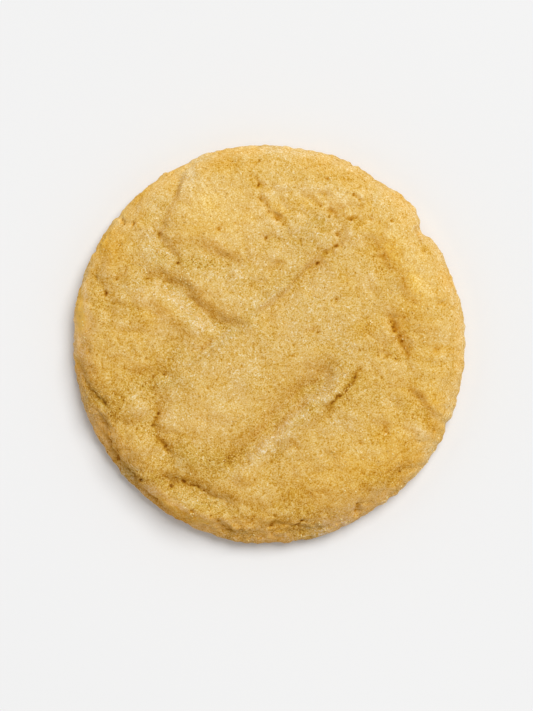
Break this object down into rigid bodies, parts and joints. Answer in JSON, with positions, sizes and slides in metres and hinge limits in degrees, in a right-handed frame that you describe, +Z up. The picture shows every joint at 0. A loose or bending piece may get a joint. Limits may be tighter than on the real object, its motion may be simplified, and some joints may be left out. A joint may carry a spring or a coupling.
{
  "type": "sugar cookie",
  "caption": "Round, low, domed soft-baked cookie with a folded and cracked golden crust, sugar-dusted, lying on a flat underside.",
  "frame": {"origin": "on the floor, under the middle of the cookie's bounding box", "axes": "+Z up through the thickness, +X to the right and +Y to the top as seen from above"},
  "size_m": [0.0844, 0.086, 0.012],
  "materials": {
    "golden_crust": "matte baked crust, golden tan, grainy with fine sugar"
  },
  "bodies": {
    "root": {"cookie": "golden_crust"}
  },
  "joints": []
}
